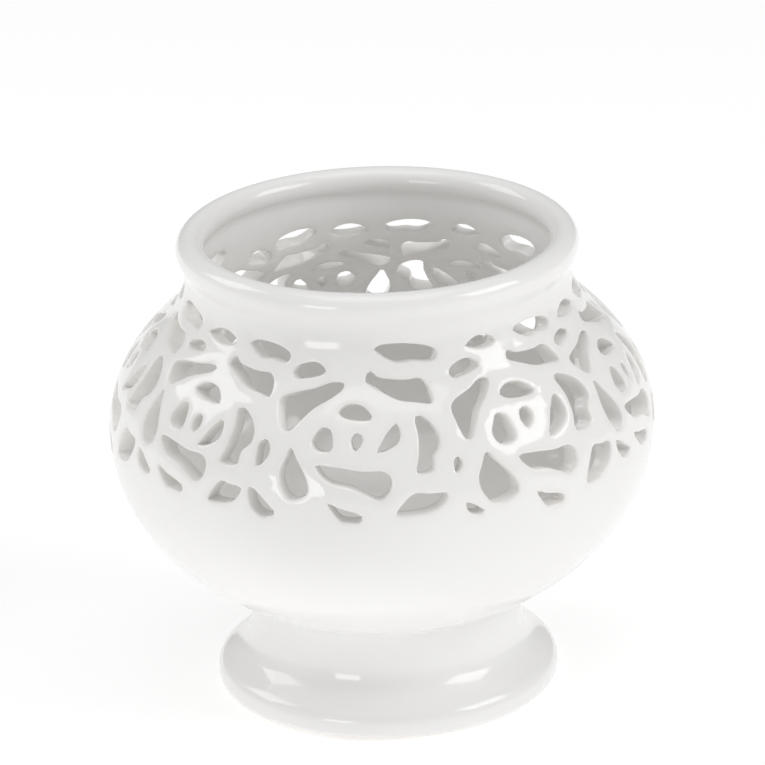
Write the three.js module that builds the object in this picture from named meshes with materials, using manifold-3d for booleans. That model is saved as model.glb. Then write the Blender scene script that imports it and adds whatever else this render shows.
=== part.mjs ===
// Pierced ceramic tealight holder, with the tealight that stands in it.
//
// Frame: +Z up, the origin on the surface it stands on, on the holder's axis. The
// side that -Y looks out of is the front. All sizes are millimetres.
//
// The pottery is three leather-hard sections luted together with slip before firing:
// a pedestal foot with a well in it, a round bowl pierced with nine cut roses, and a
// rolled rim. The tealight is a loose foil cup of wax with a wick in a tin sustainer.

import * as THREE from "three";
import { mergeVertices } from "three/addons/utils/BufferGeometryUtils.js";
import Module from "manifold-3d";

const wasm = await Module();
wasm.setup();

// ---- driving dimensions -------------------------------------------------------

const JOINT_GAP = 0.3; // kept between pieces that touch

// Foot
const FOOT_RADIUS = 37.9;
const FOOT_BAND_TOP = 6.9; // top of the band round the foot
const FOOT_EDGE_ROUND = 2.2; // bottom edge
const FOOT_SHOULDER_ROUND = 3.6; // top edge of the band
const FOOT_SHOULDER_ANGLE = 64; // degrees of that round, before the flank begins
const FLANK_PULL = 0.47; // how far the flank keeps each end's direction
const CONTACT_WIDTH = 3.2; // unglazed ring that it stands on
const BASE_RECESS = 1.5; // hollow under the floor
const FLOOR_THICKNESS = 3.5;
const WAIST_RADIUS = 30.0;
const WAIST_HEIGHT = 19.0;
const WAIST_FILLET = 3.0; // from the seam up to where the bowl's oval would start
const FILLET_REACH = 1.6; // how far out from the waist the oval takes over
const FOOT_WALL = 4.5;
const WELL_CORNER = 2.0;

// Bowl
const BOWL_RADIUS = 60.0;
const LOWER_DEPTH = 44.8; // half height of the oval below its widest line
const UPPER_RISE = 40.2; // half height of the oval above it
const BOWL_WALL = 4.2;

// Neck and rolled rim
const NECK_RADIUS = 41.9;
const NECK_WALL = 3.0;
const NECK_CURVE = 4.9; // how far out the sweep from shoulder to neck starts
const NECK_SWEEP_HEIGHT = 10.2;
const SWEEP_EASE = 1.2; // how far the sweep goes on in the shoulder's direction
const NECK_EASE = 4.0; // how far below the neck the sweep is already upright
const RIM_HEIGHT = 9.24; // from the narrowest part of the neck to the top
const RIM_ROLL_RADIUS = 3.05;
const RIM_ROLL_END = 230; // degrees round the roll, from its outside to its crease
const RIM_OVERHANG = 2.0; // the roll stands this far out from the neck
const LIP_EASE = 2.4; // how far the lip's S-curve keeps upright at each end
const RIM_SEAM = 1.2; // the seam's height above the narrowest part of the neck

// Cut roses
const ROSE_COUNT = 9;
const FIRST_ROSE_ANGLE = -45.8; // degrees from the front, to the right
const BAND_HEIGHT = 40; // height of the drawn motif, from the widest line
const BAND_MARGIN = 2.1; // plain clay between the motif and the rim seam
const KNIFE_LEVEL = 0.5; // share of the wall's slope that the knife is held at
const CUTTER_PAST = 2.5; // how far a cutter goes past both faces of the wall

// Tealight
const CUP_RADIUS = 18.9;
const CUP_HEIGHT = 16;
const CUP_FOIL = 0.4;
const CUP_BEAD = 0.45;
const CUP_CORNER = 1.2;
const WAX_HEIGHT = 12.6;
const WAX_ROUND = 1.0;
const WICK_RADIUS = 0.8;
const WICK_ABOVE_WAX = 8;
const SUSTAINER_RADIUS = 6.5;
const SUSTAINER_STEM = 4.2;
const TIN = 0.4;

// Facets round the axis: four and nine both divide the pottery's
const POTTERY_FACETS = 36;
const CUP_FACETS = 32;
const SMALL_FACETS = 16;
const WICK_FACETS = 10;

// ---- heights and radii that follow --------------------------------------------

const junctionDepth = LOWER_DEPTH * Math.sqrt(1 - (WAIST_RADIUS / BOWL_RADIUS) ** 2);
const equatorHeight = WAIST_HEIGHT + WAIST_FILLET + junctionDepth;
const sweepRadius = NECK_RADIUS + NECK_CURVE;
const sweepStart = equatorHeight + UPPER_RISE * Math.sqrt(1 - (sweepRadius / BOWL_RADIUS) ** 2);
const neckHeight = sweepStart + NECK_SWEEP_HEIGHT;
const neckInside = NECK_RADIUS - NECK_WALL;
const rimRadius = NECK_RADIUS + RIM_OVERHANG;
const rollCentre = {
  r: rimRadius - RIM_ROLL_RADIUS,
  z: neckHeight + RIM_HEIGHT - RIM_ROLL_RADIUS,
};
const rimSeam = neckHeight + RIM_SEAM;
const wellRadius = WAIST_RADIUS - FOOT_WALL;
const wellTop = WAIST_HEIGHT - 3;
const floorHeight = BASE_RECESS + FLOOR_THICKNESS;
const contactInner = FOOT_RADIUS - FOOT_EDGE_ROUND - CONTACT_WIDTH;

// ---- profile helpers ------------------------------------------------------------

const point = (r, z) => new THREE.Vector2(r, z);

function arc(centreR, centreZ, radius, fromDegrees, toDegrees, steps) {
  const curve = new THREE.EllipseCurve(
    centreR,
    centreZ,
    radius,
    radius,
    THREE.MathUtils.degToRad(fromDegrees),
    THREE.MathUtils.degToRad(toDegrees),
    toDegrees < fromDegrees,
  );
  return curve.getPoints(steps);
}

// Points of the bowl's oval from one height angle to another, 0 at the widest line
function oval(radius, below, above, fromAngle, toAngle, steps) {
  const points = [];
  for (let i = 0; i <= steps; i += 1) {
    const angle = fromAngle + ((toAngle - fromAngle) * i) / steps;
    const half = angle < 0 ? below : above;
    points.push(point(radius * Math.cos(angle), equatorHeight + half * Math.sin(angle)));
  }
  return points;
}

function bend(steps, ...controls) {
  const Curve = controls.length === 4 ? THREE.CubicBezierCurve : THREE.QuadraticBezierCurve;
  return new Curve(...controls).getPoints(steps);
}

// ---- solids ---------------------------------------------------------------------

// One closed mesh: shared corners merged and slivers at the axis left out
function closed(geometry) {
  geometry.deleteAttribute("normal");
  geometry.deleteAttribute("uv");
  const merged = mergeVertices(geometry, 1e-4);
  const corners = merged.index.array;
  const kept = [];
  for (let i = 0; i < corners.length; i += 3) {
    const [a, b, c] = [corners[i], corners[i + 1], corners[i + 2]];
    if (a !== b && b !== c && c !== a) kept.push(a, b, c);
  }
  merged.setIndex(kept);
  return merged;
}

// A profile drawn anticlockwise in (radius, height), turned about the axis
function turned(profile, facets) {
  const points = profile.filter((p, i) => i === 0 || p.distanceTo(profile[i - 1]) > 1e-3);
  const onAxis = points[0].x < 1e-6 && points[points.length - 1].x < 1e-6;
  if (!onAxis) points.push(points[0].clone());
  const geometry = new THREE.LatheGeometry(points, facets);
  geometry.rotateX(Math.PI / 2);
  return closed(geometry);
}

function toSolid(geometry) {
  return new wasm.Manifold(
    new wasm.Mesh({
      numProp: 3,
      vertProperties: new Float32Array(geometry.attributes.position.array),
      triVerts: new Uint32Array(geometry.index.array),
    }),
  );
}

function toGeometry(solid) {
  const mesh = solid.getMesh();
  const geometry = new THREE.BufferGeometry();
  geometry.setAttribute("position", new THREE.BufferAttribute(mesh.vertProperties, 3));
  geometry.setIndex(new THREE.BufferAttribute(mesh.triVerts, 1));
  return geometry;
}

// ---- pedestal foot --------------------------------------------------------------

// Outside of the foot, from the contact ring up to the waist
function footOutside() {
  const shoulder = arc(
    FOOT_RADIUS - FOOT_SHOULDER_ROUND,
    FOOT_BAND_TOP - FOOT_SHOULDER_ROUND,
    FOOT_SHOULDER_ROUND,
    0,
    FOOT_SHOULDER_ANGLE,
    4,
  );
  const start = shoulder[shoulder.length - 1];
  const end = point(WAIST_RADIUS, WAIST_HEIGHT);
  const reach = start.distanceTo(end) * FLANK_PULL;
  const lean = THREE.MathUtils.degToRad(FOOT_SHOULDER_ANGLE + 90);
  const leaving = start.clone().add(point(Math.cos(lean), Math.sin(lean)).multiplyScalar(reach));
  const arriving = point(end.x, end.y - reach);
  return [
    ...arc(FOOT_RADIUS - FOOT_EDGE_ROUND, FOOT_EDGE_ROUND, FOOT_EDGE_ROUND, -90, 0, 3),
    ...shoulder,
    ...bend(6, start, leaving, arriving, end),
  ];
}

function footGeometry() {
  const wellFloor = FOOT_RADIUS - FOOT_WALL - FOOT_SHOULDER_ROUND;
  const pull = (wellTop - floorHeight - WELL_CORNER) / 2;
  return turned(
    [
      point(0, BASE_RECESS),
      point(contactInner - 1, BASE_RECESS),
      point(contactInner, 0),
      ...footOutside(),
      point(wellRadius, WAIST_HEIGHT),
      ...bend(
        4,
        point(wellRadius, wellTop),
        point(wellRadius, wellTop - pull),
        point(wellFloor, floorHeight + WELL_CORNER + pull),
        point(wellFloor, floorHeight + WELL_CORNER),
      ),
      ...arc(wellFloor - WELL_CORNER, floorHeight + WELL_CORNER, WELL_CORNER, 0, -90, 2),
      point(0, floorHeight),
    ],
    POTTERY_FACETS,
  );
}

// ---- pierced bowl ---------------------------------------------------------------

// Outside of the bowl, from the waist seam up to the rim seam
function bowlOutside(lowerSteps, upperSteps) {
  const lowerAngle = -Math.acos((WAIST_RADIUS + FILLET_REACH) / BOWL_RADIUS);
  const upperAngle = Math.acos(sweepRadius / BOWL_RADIUS);
  const lower = oval(BOWL_RADIUS, LOWER_DEPTH, UPPER_RISE, lowerAngle, 0, lowerSteps);
  const upper = oval(BOWL_RADIUS, LOWER_DEPTH, UPPER_RISE, 0, upperAngle, upperSteps);
  const slope = (UPPER_RISE / BOWL_RADIUS) * (1 / Math.tan(upperAngle));
  return [
    ...bend(
      3,
      point(WAIST_RADIUS, WAIST_HEIGHT + JOINT_GAP),
      point(WAIST_RADIUS, lower[0].y - FILLET_REACH / 3),
      lower[0],
    ),
    ...lower,
    ...upper,
    ...bend(
      3,
      upper[upperSteps],
      point(sweepRadius - SWEEP_EASE, sweepStart + SWEEP_EASE * slope),
      point(NECK_RADIUS, neckHeight - NECK_EASE),
      point(NECK_RADIUS, neckHeight),
    ),
    point(NECK_RADIUS, rimSeam),
  ];
}

// Inside of the bowl, from the rim seam down to the waist seam
function bowlInside() {
  const innerRadius = BOWL_RADIUS - BOWL_WALL;
  const below = LOWER_DEPTH - BOWL_WALL;
  const above = UPPER_RISE - BOWL_WALL;
  const upperAngle = Math.acos((neckInside + NECK_CURVE) / innerRadius);
  const lowerAngle = -Math.acos((wellRadius + FILLET_REACH) / innerRadius);
  const upper = oval(innerRadius, below, above, upperAngle, 0, 3);
  const lower = oval(innerRadius, below, above, 0, lowerAngle, 5);
  const lip = lower[lower.length - 1];
  return [
    point(neckInside, rimSeam),
    ...bend(
      3,
      point(neckInside, neckHeight),
      point(neckInside, neckHeight - NECK_EASE),
      point(upper[0].x - SWEEP_EASE, upper[0].y + SWEEP_EASE),
      upper[0],
    ),
    ...upper,
    ...lower,
    ...bend(
      2,
      lip,
      point(wellRadius, lip.y - FILLET_REACH / 2),
      point(wellRadius, lip.y - FILLET_REACH * 1.5),
    ),
    point(wellRadius, WAIST_HEIGHT + JOINT_GAP),
  ];
}

// The pierced band as a ruler: how far up the wall from the widest line, and where
// that is in radius and height, with the wall's outward direction
function bandRuler() {
  const wall = bowlOutside(12, 40).filter((p) => p.y >= equatorHeight - BOWL_WALL * 1.5);
  const lengths = [0];
  for (let i = 1; i < wall.length; i += 1) {
    lengths.push(lengths[i - 1] + wall[i].distanceTo(wall[i - 1]));
  }
  const widest = lengths[wall.findIndex((p) => p.y >= equatorHeight - 1e-6)];
  const total = lengths[lengths.length - 1] - widest;
  return (height) => {
    const target = widest + (height / BAND_HEIGHT) * (total - BAND_MARGIN);
    let i = 1;
    while (i < lengths.length - 1 && lengths[i] < target) i += 1;
    const share = (target - lengths[i - 1]) / (lengths[i] - lengths[i - 1]);
    const along = wall[i].clone().sub(wall[i - 1]);
    const at = wall[i - 1].clone().addScaledVector(along, share);
    return { at, out: point(along.y, -along.x).normalize() };
  };
}

// Outlines of the cuts that make one rose, each in a box from 0 to 1 both ways,
// x to the right and y up, listed clockwise from the left
const CUTS = {
  dot: [[0, 0.5], [0.5, 1], [1, 0.55], [0.4, 0]],
  left_petal: [[0, 0.35], [0.35, 1], [0.85, 0.95], [1, 0.3], [0.4, 0]],
  right_petal: [[0, 0], [0.35, 0.65], [0.85, 1], [1, 0.5], [0.6, 0.1]],
  dome: [[0, 0.4], [0.3, 0.97], [0.72, 0.9], [1, 0.08], [0.4, 0]],
  crescent: [[0, 0.02], [0.2, 0.55], [0.15, 1], [0.7, 0.92], [1, 0.55], [0.68, 0.2], [0.55, 0]],
  teardrop: [[0, 0.5], [0.3, 1], [0.9, 0.45], [1, 0.14], [0.55, 0], [0.08, 0.2]],
  wide_petal: [[0, 1], [0.6, 0.92], [0.95, 0.85], [1, 0.3], [0.83, 0], [0.15, 0.58]],
  low_petal: [[0, 1], [0.8, 0.58], [1, 0.25], [0.85, 0], [0.28, 0.1]],
  leaf: [[0, 0.04], [0.3, 1], [1, 0.88], [0.8, 0.2], [0.45, 0]],
  seed: [[0, 1], [0.7, 0.55], [1, 0.05], [0.3, 0.05]],
  slit: [[0, 0.4], [0.4, 1], [1, 0.7], [0.3, 0]],
  sail: [[0, 0.6], [0.8, 1], [1, 0.92], [0.6, 0.5], [0.28, 0], [0.14, 0.05]],
  bud: [[0, 0.15], [0.3, 0.92], [0.78, 1], [1, 0.5], [0.55, 0.08]],
  sweep: [[0, 0.75], [0.07, 1], [0.35, 0.8], [0.88, 0.76], [1, 0], [0.5, 0.16], [0.2, 0.5]],
  long_slot: [[0, 0.65], [0.3, 1], [0.7, 0.94], [1, 0.4], [0.9, 0], [0.25, 0.12]],
  short_slot: [[0, 0.4], [0.4, 1], [0.85, 0.85], [1, 0.35], [0.35, 0]],
};

// Three roses cut by hand from the one pattern, so their cuts differ a little. Each
// row: left and right in degrees from the rose's middle, low and high up the wall.
const ROSES = [
  {
    dot: [-1, 1.5, 14.3, 18.3],
    left_petal: [-8.3, -3.5, 13.8, 19.8],
    right_petal: [2.5, 7.9, 12.2, 18.8],
    dome: [-5, 4.2, 21.8, 25.6],
    crescent: [9.2, 16, 9.7, 22.3],
    teardrop: [-17, -11.3, 7.8, 20],
    wide_petal: [-9, 5.8, 4.3, 11.1],
    low_petal: [-8.1, 0, 0.8, 4.7],
    leaf: [7.2, 15.2, 1.1, 6],
    seed: [-16.4, -11, 1.5, 5.9],
    sail: [-18, -2.5, 21.8, 29.6],
    bud: [-18.5, -10.4, 30.4, 33.1],
    sweep: [1, 17.2, 25.9, 33],
    long_slot: [6, 19.8, 33.9, 37.7],
    short_slot: [-11.5, 0.8, 34.6, 37.6],
  },
  {
    dot: [-1.2, 1.5, 15.5, 19.2],
    left_petal: [-10.1, -5.2, 15.1, 20.4],
    right_petal: [4.6, 9.9, 15.2, 21.3],
    dome: [-4.7, 3.5, 22.2, 26],
    crescent: [12.9, 18.5, 10.2, 22.8],
    teardrop: [-16.4, -10, 4.5, 15.5],
    wide_petal: [-8.6, 7.5, 4.9, 12],
    low_petal: [-5.7, 1.3, 0.1, 4.2],
    leaf: [8.2, 19, 1.5, 6.2],
    seed: [-23, -17, 0, 6],
    slit: [-22.4, -19.3, 10.5, 16.6],
    sail: [-19.9, -3.9, 18.8, 31],
    bud: [-18.7, -9.4, 30.9, 34.8],
    sweep: [1.6, 18.6, 25.4, 33.3],
    long_slot: [3.9, 21.9, 34.8, 39],
  },
  {
    dot: [-1.3, 2, 16.2, 20.5],
    left_petal: [-9.1, -4, 14, 20.7],
    right_petal: [4.7, 11.5, 13.2, 21.3],
    dome: [-4, 5.5, 23, 26.9],
    crescent: [12.2, 20.6, 12, 25],
    teardrop: [-14.1, -5.6, 2, 13.2],
    wide_petal: [-4.3, 10.3, 4, 10.8],
    low_petal: [-1.2, 5.7, -1.8, 2.3],
    leaf: [12.4, 21.4, 0.3, 7.6],
    seed: [-17.3, -13.5, 0.2, 3.1],
    slit: [-19.1, -17.3, 9.6, 13.1],
    sail: [-17.3, -5.5, 16.2, 29.5],
    bud: [-15.5, -6.5, 30.4, 34.2],
    sweep: [2.7, 19, 27.6, 33.8],
    long_slot: [7.8, 23.3, 34.9, 38.4],
    short_slot: [-9, 0.7, 35.7, 38.4],
  },
];

// A cutter for one cut: its outline extruded, then bent onto the wall. The knife is
// held nearer level than square to the wall, so the cut climbs as it goes in.
function cutter(outline, box, middle, ruler) {
  const [left, right, low, high] = box;
  const shape = new THREE.Shape(
    outline.map(([x, y]) => point(left + (right - left) * x, low + (high - low) * y)),
  );
  const deep = BOWL_WALL + 2 * CUTTER_PAST;
  const geometry = new THREE.ExtrudeGeometry(shape, { depth: deep, steps: 1, bevelEnabled: false });
  const corners = geometry.attributes.position;
  for (let i = 0; i < corners.count; i += 1) {
    const turn = THREE.MathUtils.degToRad(middle + corners.getX(i));
    const { at, out } = ruler(corners.getY(i));
    const away = corners.getZ(i) - deep + CUTTER_PAST;
    const steep = Math.max(Math.atan2(out.y, out.x), 0);
    const knife = steep * KNIFE_LEVEL;
    const length = away / Math.cos(steep - knife);
    const r = at.x + Math.cos(knife) * length;
    corners.setXYZ(i, r * Math.sin(turn), -r * Math.cos(turn), at.y + Math.sin(knife) * length);
  }
  return toSolid(closed(geometry));
}

function bowlGeometry() {
  const ruler = bandRuler();
  let bowl = toSolid(turned([...bowlOutside(5, 3), ...bowlInside()], POTTERY_FACETS));
  for (let i = 0; i < ROSE_COUNT; i += 1) {
    const middle = FIRST_ROSE_ANGLE + (i * 360) / ROSE_COUNT;
    const rose = ROSES[i % ROSES.length];
    for (const [name, box] of Object.entries(rose)) {
      bowl = bowl.subtract(cutter(CUTS[name], box, middle, ruler));
    }
  }
  return toGeometry(bowl);
}

// ---- rolled rim -----------------------------------------------------------------

function rimGeometry() {
  const bottom = rimSeam + JOINT_GAP;
  return turned(
    [
      ...bend(
        4,
        point(NECK_RADIUS, bottom),
        point(NECK_RADIUS, bottom + LIP_EASE),
        point(rimRadius, rollCentre.z - LIP_EASE),
        point(rimRadius, rollCentre.z),
      ),
      ...arc(rollCentre.r, rollCentre.z, RIM_ROLL_RADIUS, 0, RIM_ROLL_END, 9),
      point(neckInside, rollCentre.z - RIM_ROLL_RADIUS),
      point(neckInside, bottom),
    ],
    POTTERY_FACETS,
  );
}

// ---- tealight -------------------------------------------------------------------

const cupBottom = floorHeight + JOINT_GAP;
const waxBottom = cupBottom + CUP_FOIL + JOINT_GAP;
const waxTop = waxBottom + WAX_HEIGHT;
const waxRadius = CUP_RADIUS - CUP_FOIL - JOINT_GAP;
const wickHole = WICK_RADIUS + JOINT_GAP;
const stemRadius = wickHole + TIN;

function cupGeometry() {
  const top = cupBottom + CUP_HEIGHT;
  const corner = { r: CUP_RADIUS - CUP_CORNER, z: cupBottom + CUP_CORNER };
  return turned(
    [
      point(0, cupBottom),
      ...arc(corner.r, corner.z, CUP_CORNER, -90, 0, 3),
      point(CUP_RADIUS, top - 2 * CUP_BEAD),
      ...arc(CUP_RADIUS, top - CUP_BEAD, CUP_BEAD, -60, 120, 4),
      point(CUP_RADIUS - CUP_FOIL, top - CUP_BEAD),
      ...arc(corner.r, corner.z, CUP_CORNER - CUP_FOIL, 0, -90, 3),
      point(0, cupBottom + CUP_FOIL),
    ],
    CUP_FACETS,
  );
}

function waxGeometry() {
  const pocket = waxBottom + TIN + JOINT_GAP;
  const stemTop = waxBottom + SUSTAINER_STEM + JOINT_GAP;
  const side = waxRadius - WAX_ROUND;
  return turned(
    [
      point(SUSTAINER_RADIUS + JOINT_GAP, waxBottom),
      ...arc(side, waxBottom + WAX_ROUND, WAX_ROUND, -90, 0, 2),
      ...arc(side, waxTop - WAX_ROUND, WAX_ROUND, 0, 90, 2),
      point(wickHole, waxTop),
      point(wickHole, stemTop),
      point(stemRadius + JOINT_GAP, stemTop),
      point(stemRadius + JOINT_GAP, pocket),
      point(SUSTAINER_RADIUS + JOINT_GAP, pocket),
    ],
    CUP_FACETS,
  );
}

function sustainerGeometry() {
  const top = waxBottom + SUSTAINER_STEM;
  return turned(
    [
      point(0, waxBottom),
      point(SUSTAINER_RADIUS, waxBottom),
      point(SUSTAINER_RADIUS, waxBottom + TIN),
      point(stemRadius, waxBottom + TIN),
      point(stemRadius, top),
      point(wickHole, top),
      point(wickHole, waxBottom + TIN),
      point(0, waxBottom + TIN),
    ],
    SMALL_FACETS,
  );
}

function wickGeometry() {
  const bottom = waxBottom + TIN + JOINT_GAP;
  const length = waxTop + WICK_ABOVE_WAX - bottom;
  const geometry = new THREE.CylinderGeometry(WICK_RADIUS, WICK_RADIUS, length, WICK_FACETS);
  geometry.rotateX(Math.PI / 2);
  geometry.translate(0, 0, bottom + length / 2);
  return closed(geometry);
}

// ---- materials and assembly -------------------------------------------------------

const white_glaze = new THREE.MeshStandardMaterial({ color: 0xf2f1ee, roughness: 0.12, metalness: 0 });
const foil = new THREE.MeshStandardMaterial({ color: 0xc9cbce, roughness: 0.32, metalness: 1 });
const wax = new THREE.MeshStandardMaterial({ color: 0xf6f2e6, roughness: 0.45, metalness: 0 });
const cotton = new THREE.MeshStandardMaterial({ color: 0xeee9da, roughness: 0.9, metalness: 0 });
const tinplate = new THREE.MeshStandardMaterial({ color: 0xb4b5b4, roughness: 0.4, metalness: 1 });

function piece(name, geometry, material) {
  const mesh = new THREE.Mesh(geometry, material);
  mesh.name = name;
  return mesh;
}

const holder = new THREE.Group();
holder.add(piece("pedestal_foot", footGeometry(), white_glaze));
holder.add(piece("pierced_bowl", bowlGeometry(), white_glaze));
holder.add(piece("rolled_rim", rimGeometry(), white_glaze));

const tealight = new THREE.Group();
tealight.add(piece("tealight_cup", cupGeometry(), foil));
tealight.add(piece("wax_fill", waxGeometry(), wax));
tealight.add(piece("wick_sustainer", sustainerGeometry(), tinplate));
tealight.add(piece("wick", wickGeometry(), cotton));
holder.add(tealight);

export default holder;
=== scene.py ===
# %% [markdown]
# # A pierced ceramic tealight holder
#
# The object is a round white pot on a foot, its shoulder pierced all round with cut
# roses, and a loose tealight that stands in the well of the foot. We load the packed
# CAD model first. It fixes every size, place and joint. Then each piece is made again
# with the surface that the real one has.

# %% Load the fixed frame
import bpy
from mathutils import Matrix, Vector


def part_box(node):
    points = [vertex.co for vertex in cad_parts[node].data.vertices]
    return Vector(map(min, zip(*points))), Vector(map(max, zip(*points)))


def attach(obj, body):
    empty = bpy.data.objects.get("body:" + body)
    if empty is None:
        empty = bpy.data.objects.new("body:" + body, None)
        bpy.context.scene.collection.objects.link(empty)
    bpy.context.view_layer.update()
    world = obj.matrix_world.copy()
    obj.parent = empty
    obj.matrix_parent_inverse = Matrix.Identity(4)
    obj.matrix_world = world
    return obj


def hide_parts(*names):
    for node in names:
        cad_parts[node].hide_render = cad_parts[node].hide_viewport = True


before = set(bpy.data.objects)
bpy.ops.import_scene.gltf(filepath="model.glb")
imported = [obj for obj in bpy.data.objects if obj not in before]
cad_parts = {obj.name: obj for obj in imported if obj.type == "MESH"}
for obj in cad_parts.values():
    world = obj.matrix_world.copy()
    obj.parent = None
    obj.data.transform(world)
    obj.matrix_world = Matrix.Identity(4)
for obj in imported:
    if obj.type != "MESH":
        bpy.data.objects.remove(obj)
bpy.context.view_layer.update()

# %% [markdown]
# ## Sizes
#
# The overall sizes are read from the CAD model's own boxes, so the looks can't drift
# away from it. What a box can't tell, such as a wall's thickness or a corner's
# rounding, is named here once. Lengths in this script are metres.

# %% Sizes from the frame, and the potter's own sizes
import math
import bpy
import bmesh
import numpy as np
from mathutils import Quaternion, Vector
from mathutils.geometry import delaunay_2d_cdt

MM = 0.001
foot_high = Vector(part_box("pedestal_foot")[1])
bowl_high = Vector(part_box("pierced_bowl")[1])
rim_high = Vector(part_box("rolled_rim")[1])
cup_low, cup_high = (Vector(c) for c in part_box("tealight_cup"))
wax_low, wax_high = (Vector(c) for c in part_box("wax_fill"))
wick_low, wick_high = (Vector(c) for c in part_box("wick"))
disc_low, disc_high = (Vector(c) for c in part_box("wick_sustainer"))

BOWL_RADIUS = bowl_high.x
FOOT_RADIUS = foot_high.x
RIM_RADIUS = rim_high.x
TOP = rim_high.z
WAIST_HEIGHT = foot_high.z
WAIST_RADIUS = 30.0 * MM
LOWER_DEPTH = 44.8 * MM
UPPER_RISE = 40.2 * MM
WAIST_FILLET = 3.0 * MM
BOWL_WALL = 4.2 * MM
NECK_WALL = 3.0 * MM
FOOT_WALL = 4.5 * MM
NECK_CURVE = 4.9 * MM
NECK_SWEEP_HEIGHT = 10.2 * MM
RIM_OVERHANG = 2.0 * MM
RIM_ROLL = 3.05 * MM
SWEEP_EASE = 1.2 * MM
NECK_EASE = 4.0 * MM
NECK_RADIUS = RIM_RADIUS - RIM_OVERHANG
EQUATOR = WAIST_HEIGHT + WAIST_FILLET
EQUATOR += LOWER_DEPTH * math.sqrt(1 - (WAIST_RADIUS / BOWL_RADIUS) ** 2)
SWEEP_RADIUS = NECK_RADIUS + NECK_CURVE
SWEEP_START = EQUATOR + UPPER_RISE * math.sqrt(1 - (SWEEP_RADIUS / BOWL_RADIUS) ** 2)
NECK_HEIGHT = SWEEP_START + NECK_SWEEP_HEIGHT
WELL_RADIUS = WAIST_RADIUS - FOOT_WALL
FLOOR = 5.0 * MM
RECESS = 1.5 * MM
print(f"bowl {2000 * BOWL_RADIUS:.1f} mm across, {1000 * TOP:.1f} mm high")
print(f"widest at {1000 * EQUATOR:.1f} mm")

# %% [markdown]
# ## The section
#
# A pot is a section turned on an axis. The section runs from the middle of the
# underside, round the foot, up the outside, over the rolled rim and down the inside to
# the middle of the floor. It is drawn as one line of points with arcs, Bezier curves
# and the two halves of an oval, and measured by its length, because the cuts are
# placed by how far up the wall they are.

# %% Curves that the section is drawn with
def arc(centre, radius, start, stop, steps):
    """Points of a circular arc, angles in degrees."""
    angles = np.radians(np.linspace(start, stop, steps + 1))
    return np.column_stack([centre[0] + radius * np.cos(angles), centre[1] + radius * np.sin(angles)])


def bezier(controls, steps):
    """Points of a Bezier curve through any number of controls."""
    points = np.repeat(np.array(controls, float)[None], steps + 1, axis=0)
    share = np.linspace(0, 1, steps + 1)[:, None, None]
    while points.shape[1] > 1:
        points = points[:, :-1] * (1 - share) + points[:, 1:] * share
    return points[:, 0]


def oval(start, stop, steps):
    """Points of the bowl's outside, from one angle to another, 0 at the widest line."""
    angles = np.linspace(start, stop, steps + 1)
    rise = np.where(angles < 0, LOWER_DEPTH, UPPER_RISE)
    return np.column_stack([BOWL_RADIUS * np.cos(angles), EQUATOR + rise * np.sin(angles)])


def joined(parts):
    """One line from several, with repeated points left out."""
    line = np.vstack(parts)
    gaps = np.linalg.norm(np.diff(line, axis=0), axis=1)
    return line[np.r_[True, gaps > 1e-7]]


def lengths(line):
    return np.r_[0, np.cumsum(np.linalg.norm(np.diff(line, axis=0), axis=1))]


def refined(line, step):
    """The same line with its points a step apart."""
    along = lengths(line)
    count = max(2, int(round(along[-1] / step)) + 1)
    at = np.linspace(0, along[-1], count)
    return np.column_stack([np.interp(at, along, line[:, i]) for i in (0, 1)])


# %% Outside of the pot, from the underside's middle to the inside of the rim
CONTACT_WIDTH = 3.2 * MM
FOOT_EDGE = 2.2 * MM
FOOT_BAND_TOP = 6.9 * MM
FOOT_SHOULDER = 3.6 * MM
SHOULDER_ANGLE = 64
FLANK_PULL = 0.47
FILLET_REACH = 1.6 * MM
RECESS_RIM = 2.2 * MM
LIP_EASE = 2.6 * MM
ROLL_END = 236

contact_outer = FOOT_RADIUS - FOOT_EDGE
contact_inner = contact_outer - CONTACT_WIDTH
shoulder_centre = (FOOT_RADIUS - FOOT_SHOULDER, FOOT_BAND_TOP - FOOT_SHOULDER)
shoulder = arc(shoulder_centre, FOOT_SHOULDER, 0, SHOULDER_ANGLE, 12)
waist = np.array([WAIST_RADIUS, WAIST_HEIGHT])
reach = FLANK_PULL * np.linalg.norm(waist - shoulder[-1])
lean = math.radians(SHOULDER_ANGLE + 90)
leaving = shoulder[-1] + reach * np.array([math.cos(lean), math.sin(lean)])
junction = -math.acos((WAIST_RADIUS + FILLET_REACH) / BOWL_RADIUS)
sweep = math.acos(SWEEP_RADIUS / BOWL_RADIUS)
sweep_slope = UPPER_RISE / BOWL_RADIUS / math.tan(sweep)
bowl_start = oval(junction, 0, 1)[0]
roll_centre = np.array([RIM_RADIUS - RIM_ROLL, TOP - RIM_ROLL])

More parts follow.
